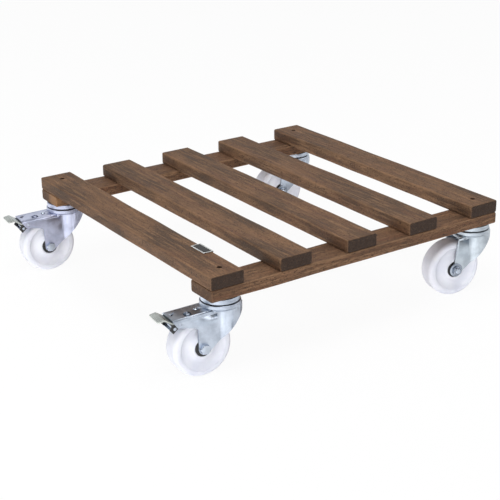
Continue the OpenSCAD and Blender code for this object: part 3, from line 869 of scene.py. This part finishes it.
def wheel_profile(settings):
    """Half of the wheel's section as (radius, distance from its middle plane), from hub to tread."""
    outer, half, tread = 42 * MM, 14.5 * MM, 6 * MM
    hub, recess, mouth = 15.2 * MM, 13.2 * MM, 12.3 * MM
    inner_edge, outer_edge, depth = 15.5 * MM, 33 * MM, 3.6 * MM
    r = np.linspace(inner_edge, outer_edge, 25)
    middle, span = (inner_edge + outer_edge) / 2, (outer_edge - inner_edge) / 2
    dish = np.stack([r, half - depth * (1 - ((r - middle) / span) ** 2)], 1)
    line = settings.ring_line
    start = corner_path([(AXLE_BORE, recess, 0), (mouth, recess, 0.3 * MM), (mouth, hub, 0.4 * MM),
                         (13.9 * MM, hub, 0.5 * MM), (inner_edge - 0.4 * MM, half + 0.1 * MM, 0.3 * MM),
                         (inner_edge, half, 0)], 5)
    rim = np.array([(outer_edge + 0.25 * MM, half - line), (outer_edge + 0.7 * MM, half - line),
                    (outer_edge + 0.95 * MM, half), (outer - tread, half)])
    a = np.linspace(0, pi / 2, 14)[1:]
    corner = np.stack([outer - tread + tread * np.sin(a), half - tread + tread * np.cos(a)], 1)
    crown = np.linspace(half - tread, 0, 9)[1:]
    seam = 0.09 * MM * ease(1 - crown / (0.5 * MM))
    tread_rows = np.stack([outer + 0 * crown - 0.09 * MM + seam, crown], 1)
    return np.concatenate([start[:-1], dish, rim, corner, tread_rows])


def wheel_grid(settings):
    """The wheel as a closed ring in section, turned about its axle, with three shallow ejector marks
    in each dish: discs of constant depth with a soft edge."""
    half = wheel_profile(settings)
    section = np.concatenate([half, half[:-1][::-1] * [1, -1]])
    points = revolve(section, 180)
    x, y, z = points[..., 0], points[..., 1], points[..., 2]
    for a in np.arange(3) * 2 * pi / 3 + 0.4:
        away = np.hypot(x - 27.5 * MM * cos(a), y - 27.5 * MM * sin(a))
        mark = ease((3 * MM - away) / (0.4 * MM)) * (np.abs(z) > 9 * MM)
        z = z - 0.18 * MM * np.sign(z) * mark
    return np.stack([x, y, z], -1)


class OBJECT_OT_caddy_wheels(bpy.types.Operator):
    """Moulded nylon wheels and the black thread guards in their hubs"""

    bl_idname = "object.caddy_wheels"
    bl_label = "Wheels"

    def execute(self, context):
        settings = context.scene.caddy_wheels
        # The 0.2 sets the nylon's light spread and turns on its painted rim shade.
        nylon = finish("White nylon", moulded_plastic, settings.nylon, settings.nylon_shade, 0.34, 0.2)
        black = finish("Black guard", moulded_plastic, settings.guard, (0.05, 0.05, 0.05), 0.4)
        wheel = wheel_grid(settings)
        inner, outer, radius = 13.5 * MM, 15.75 * MM, 11.9 * MM
        ring = corner_path([(AXLE_BORE, inner, 0), (radius, inner, 0.3 * MM), (radius, outer, 0.5 * MM),
                            (8 * MM, outer, 0.2 * MM), (AXLE_BORE, outer - 0.15 * MM, 0)], 5)
        for caster in CASTERS:
            axes = axle_axes(caster)
            wheels = [shell(placed(wheel, axes), ring=True)]
            add_shells("nylon_wheel_" + caster, "wheel_" + caster, wheels, nylon)
            guards = [shell(placed(revolve(ring * [1, s]), axes), ring=True) for s in (-1, 1)]
            add_shells("thread_guards_" + caster, "hub_caps_" + caster, guards, black)
        return {"FINISHED"}


# --- Casters ----------------------------------------------------------------------------------


class OBJECT_OT_caddy_forks(bpy.types.Operator):
    """Pressed-steel forks with eased sheet edges"""

    bl_idname = "object.caddy_forks"
    bl_label = "Forks"

    def execute(self, context):
        for caster in CASTERS:
            fork = tidy_copy("pressed_fork_" + caster, "fork_" + caster, pressed_zinc(caster), 0)
            rise = 5 * MM if caster in BRAKED else 8 * MM
            self.sweep_up_edge(fork, caster_axes(caster), rise)
            ease_edges(fork, 0.25 * MM)
        return {"FINISHED"}

    def sweep_up_edge(self, fork, axes, rise):
        """Lets the lower edge of the skirt climb towards the front: points move up by rise times two
        smooth steps, one that grows from 8 mm behind the swivel to 30 mm before it, and one that
        grows over the 6 mm below the head."""
        mesh = fork.data
        points = placed(points_of(mesh), axes.inverted())
        ahead = ease(-(points[:, 0] - 8 * MM) / (38 * MM))
        below = ease((-17.5 * MM - points[:, 2]) / (6 * MM))
        points[:, 2] += rise * ahead * below
        mesh.vertices.foreach_set("co", placed(points, axes).ravel())
        mesh.update()


class OBJECT_OT_caddy_heads(bpy.types.Operator):
    """Swivel heads: races, balls and the hollow rivets that clamp them"""

    bl_idname = "object.caddy_heads"
    bl_label = "Swivel heads"

    def execute(self, context):
        steel = finish("Ball steel", plated_steel, (0.4, 0.4, 0.4), (0.72, 0.72, 0.72), 0.15)
        for caster in CASTERS:
            tidy_copy("upper_race_" + caster, "top_race_" + caster, pressed_zinc(caster))
            tidy_copy("clamped_race_" + caster, "lower_race_" + caster, pressed_zinc(caster))
            tidy_copy("balls_" + caster, "head_balls_" + caster, steel, 0, 60)
        tidy_copy("hollow_rivets", "king_rivets", bright_zinc())
        return {"FINISHED"}


class OBJECT_OT_caddy_axles(bpy.types.Operator):
    """Axle bolts with hex heads and cut threads, their flanged nuts and the hub sleeves"""

    bl_idname = "object.caddy_axles"
    bl_label = "Axles"

    def execute(self, context):
        metal = context.scene.caddy_metal
        half, nut, flange = 18.2 * MM, 6.6 * MM, 10.3 * MM
        # Painted shade: the nuts take a darkened copy of the bright zinc, standing in for the dark surroundings
        # their plate mirrors.
        dark = finish("Nut zinc", plated_steel, [0.55 * c for c in metal.zinc], metal.zinc, 0.16)
        bolt = axle_bolt_grid(half, -half - nut - 1.2 * MM, metal.thread_pitch)
        nut = axle_nut_grid(-half, nut, flange)
        for number, caster in enumerate(CASTERS):
            axes = axle_axes(caster) @ Matrix.Rotation(0.35 + 0.9 * number, 4, "Z")
            bolts, nuts = [shell(placed(bolt, axes))], [shell(placed(nut, axes), ring=True)]
            add_shells("hex_bolt_" + caster, "axle_bolt_" + caster, bolts, bright_zinc())
            add_shells("flange_nut_" + caster, "axle_nut_" + caster, nuts, dark)
            tidy_copy("sleeve_" + caster, "hub_sleeve_" + caster, bright_zinc(), 0)
        return {"FINISHED"}


class OBJECT_OT_caddy_brakes(bpy.types.Operator):
    """Foot brakes: ridged pedal, its pins, and the leaf that bears on the tread"""

    bl_idname = "object.caddy_brakes"
    bl_label = "Foot brakes"

    def execute(self, context):
        metal = context.scene.caddy_metal
        worn = [1.3 * c for c in metal.zinc_dull]
        dull = finish("Trodden zinc", plated_steel, metal.zinc_dull, worn, 0.42)
        # Painted shade: the pedal's zinc cheeks lie in shade and are painted near black with this finish.
        black = finish("Black cheek", moulded_plastic, (0.012, 0.012, 0.013), (0.04, 0.04, 0.04), 0.35)
        for caster in BRAKED:
            pedal = tidy_copy("foot_pedal_" + caster, "brake_pedal_" + caster, dull, 0.2 * MM)
            self.paint_cheek_shade(pedal, caster_axes(caster), black)
            tidy_copy("pressing_leaf_" + caster, "brake_leaf_" + caster, pressed_zinc(caster), 0.15 * MM)
            for piece in ("brake_pivot", "brake_cam_pin", "leaf_rivet"):
                tidy_copy(piece + "_turned_" + caster, f"{piece}_{caster}", bright_zinc(), 0.25 * MM)
        return {"FINISHED"}

    def paint_cheek_shade(self, pedal, axes, black):
        """Gives a near-black painted shade to the faces of the two cheeks that hang below the pedal's web, where
        the zinc sheet lies in shade.
        """
        pedal.data.materials.append(black)
        inward = axes.inverted()
        for face in pedal.data.polygons:
            x, y, z = inward @ face.center / MM
            # Faces low on the cheeks take the near-black painted shade.
            if x < 81 and (z < -23 or (abs(y) > 12.2 and abs(y) < 14.4 and z < -20)):
                face.material_index = 1


# --- Studio -----------------------------------------------------------------------------------


def softbox(name, spot, target, size, power):
    """A rectangular area light at a spot, turned towards a target."""
    light = bpy.data.lights.new(name, "AREA")
    light.shape = "RECTANGLE"
    light.size, light.size_y = size
    light.energy = power
    lamp = bpy.data.objects.new(name, light)
    lamp.location = spot
    lamp.rotation_euler = (Vector(target) - Vector(spot)).to_track_quat("-Z", "Y").to_euler()
    bpy.context.scene.collection.objects.link(lamp)


class OBJECT_OT_caddy_studio(bpy.types.Operator):
    """Pale floor, soft light and the camera"""

    bl_idname = "object.caddy_studio"
    bl_label = "Studio"

    def execute(self, context):
        settings = context.scene.caddy_studio
        self.floor()
        self.surround(context.scene, settings.daylight)
        softbox("Overhead", (-0.3, -0.4, 1.9), (0, 0, -0.05), (1.8, 1.8), 28)
        softbox("Front fill", (-1.7, -2.2, 1.1), (0, 0, -0.1), (1.6, 1.0), 6.5)
        softbox("Side strip", (1.7, -1.3, 0.7), (0.1, 0, -0.1), (0.5, 1.4), 1.2)
        self.stand_camera(context.scene, settings)
        context.scene.view_settings.view_transform = "Standard"
        return {"FINISHED"}

    def floor(self):
        """A wide pale floor under the wheels, nearly plain white to the camera. To every other ray it
        glows as well, and more strongly towards +X, so that the metal has something to mirror."""
        z = CAD_BOX[0][2]
        a = turns(96)
        rings = np.array((0.0, 0.4, 1.2, 3.0, 6.0, 9.0))[:, None]
        grid = np.stack([rings * np.cos(a), rings * np.sin(a), z + 0 * rings * a], -1)
        vertices, quads = shell(grid)
        mesh = bpy.data.meshes.new("Floor")
        mesh.from_pydata(vertices.tolist(), [], quads[:, ::-1].tolist())
        material, tree, shader, where = new_material("Pale floor")
        cloud = noise(tree, where, 3.0, 2.0)
        tint = blend_colours(tree, cloud, (0.9, 0.9, 0.9, 1), (0.93, 0.93, 0.93, 1))
        way = put(tree, "NewGeometry").outputs["Incoming"]
        east = put(tree, "SeparateXYZ", {0: way}).outputs["X"]
        lit = stretch(tree, east, -0.6, 0.7, 0.0, 0.8)
        glow = put(tree, "Emission", {"Color": WHITE, "Strength": 1.0}).outputs[0]
        feed(tree, shader, {"Base Color": tint, "Roughness": 0.9, "Emission Color": WHITE,
                            "Emission Strength": lit})
        seen = put(tree, "LightPath").outputs["Is Camera Ray"]
        faint = maths(tree, "MULTIPLY", seen, 0.93)
        mixed = put(tree, "MixShader", {0: faint, 1: shader.outputs[0], 2: glow}).outputs[0]
        feed(tree, tree.nodes["Material Output"], {"Surface": mixed})
        mesh.materials.append(material)
        floor = bpy.data.objects.new("Floor", mesh)
        bpy.context.scene.collection.objects.link(floor)

    def surround(self, scene, strength):
        """A pale surround: white to the camera, greyer towards the horizon for the light it sheds, and
        with a bright band at the horizon for what is mirrored."""
        world = bpy.data.worlds.new("Surround")
        world.use_nodes = True
        tree = world.node_tree
        way = put(tree, "TexCoord").outputs["Generated"]
        height = put(tree, "SeparateXYZ", {0: way}).outputs["Z"]
        rays = put(tree, "LightPath").outputs
        shade = blend_colours(tree, stretch(tree, height, -0.05, 0.75), colour((0.5, 0.53, 0.6)), WHITE)
        bright = blend_colours(tree, stretch(tree, height, 0.3, 0.8), colour((2.1, 2.15, 2.2)),
                               colour((0.7, 0.7, 0.7)))
        shade = blend_colours(tree, rays["Is Glossy Ray"], shade, bright)
        shade = blend_colours(tree, rays["Is Camera Ray"], shade, colour((2, 2, 2)))
        feed(tree, tree.nodes["Background"], {"Color": shade, "Strength": strength})
        scene.world = world

    def stand_camera(self, scene, settings):
        """A camera at its place, turned by heading, dip and tilt."""
        heading, dip, tilt = settings.heading, settings.dip, settings.tilt
        ahead = Vector((sin(heading) * cos(dip), cos(heading) * cos(dip), -sin(dip)))
        level = Vector((cos(heading), -sin(heading), 0))
        rise = level.cross(ahead)
        right = cos(tilt) * level + sin(tilt) * rise
        up = cos(tilt) * rise - sin(tilt) * level
        camera = bpy.data.objects.new("Camera", bpy.data.cameras.new("Camera"))
        camera.data.lens = settings.lens
        camera.data.sensor_width = 36
        turn = Matrix((right, up, -ahead)).transposed().to_4x4()
        camera.matrix_world = Matrix.Translation(settings.camera) @ turn
        scene.collection.objects.link(camera)
        scene.camera = camera


class VIEW3D_PT_caddy(bpy.types.Panel):
    """The caddy's pieces, one button each"""

    bl_idname = "VIEW3D_PT_caddy"
    bl_label = "Plant Pot Caddy"
    bl_space_type = "VIEW_3D"
    bl_region_type = "UI"
    bl_category = "Caddy"

    def draw(self, context):
        for operator in PIECES:
            self.layout.operator(operator.bl_idname)
        for name, group in SETTINGS.items():
            box = self.layout.box()
            for key in group.__annotations__:
                box.prop(getattr(context.scene, name), key)


PIECES = (
    OBJECT_OT_caddy_timber,
    OBJECT_OT_caddy_fasteners,
    OBJECT_OT_caddy_clip,
    OBJECT_OT_caddy_wheels,
    OBJECT_OT_caddy_forks,
    OBJECT_OT_caddy_heads,
    OBJECT_OT_caddy_axles,
    OBJECT_OT_caddy_brakes,
    OBJECT_OT_caddy_studio,
)
SETTINGS = {
    "caddy_timber": CaddyTimberSettings,
    "caddy_metal": CaddyMetalSettings,
    "caddy_wheels": CaddyWheelSettings,
    "caddy_studio": CaddyStudioSettings,
}


def register():
    """Registers the settings, operators and panel."""
    for name, group in SETTINGS.items():
        bpy.utils.register_class(group)
        setattr(bpy.types.Scene, name, bpy.props.PointerProperty(type=group))
    for made in (*PIECES, VIEW3D_PT_caddy):
        bpy.utils.register_class(made)


def unregister():
    """Takes them away again."""
    for made in (VIEW3D_PT_caddy, *reversed(PIECES)):
        bpy.utils.unregister_class(made)
    for name, group in reversed(SETTINGS.items()):
        delattr(bpy.types.Scene, name)
        bpy.utils.unregister_class(group)


def main():
    register()
    for operator in PIECES:
        category, name = operator.bl_idname.split(".")
        getattr(getattr(bpy.ops, category), name)()


if __name__ == "__main__":
    main()
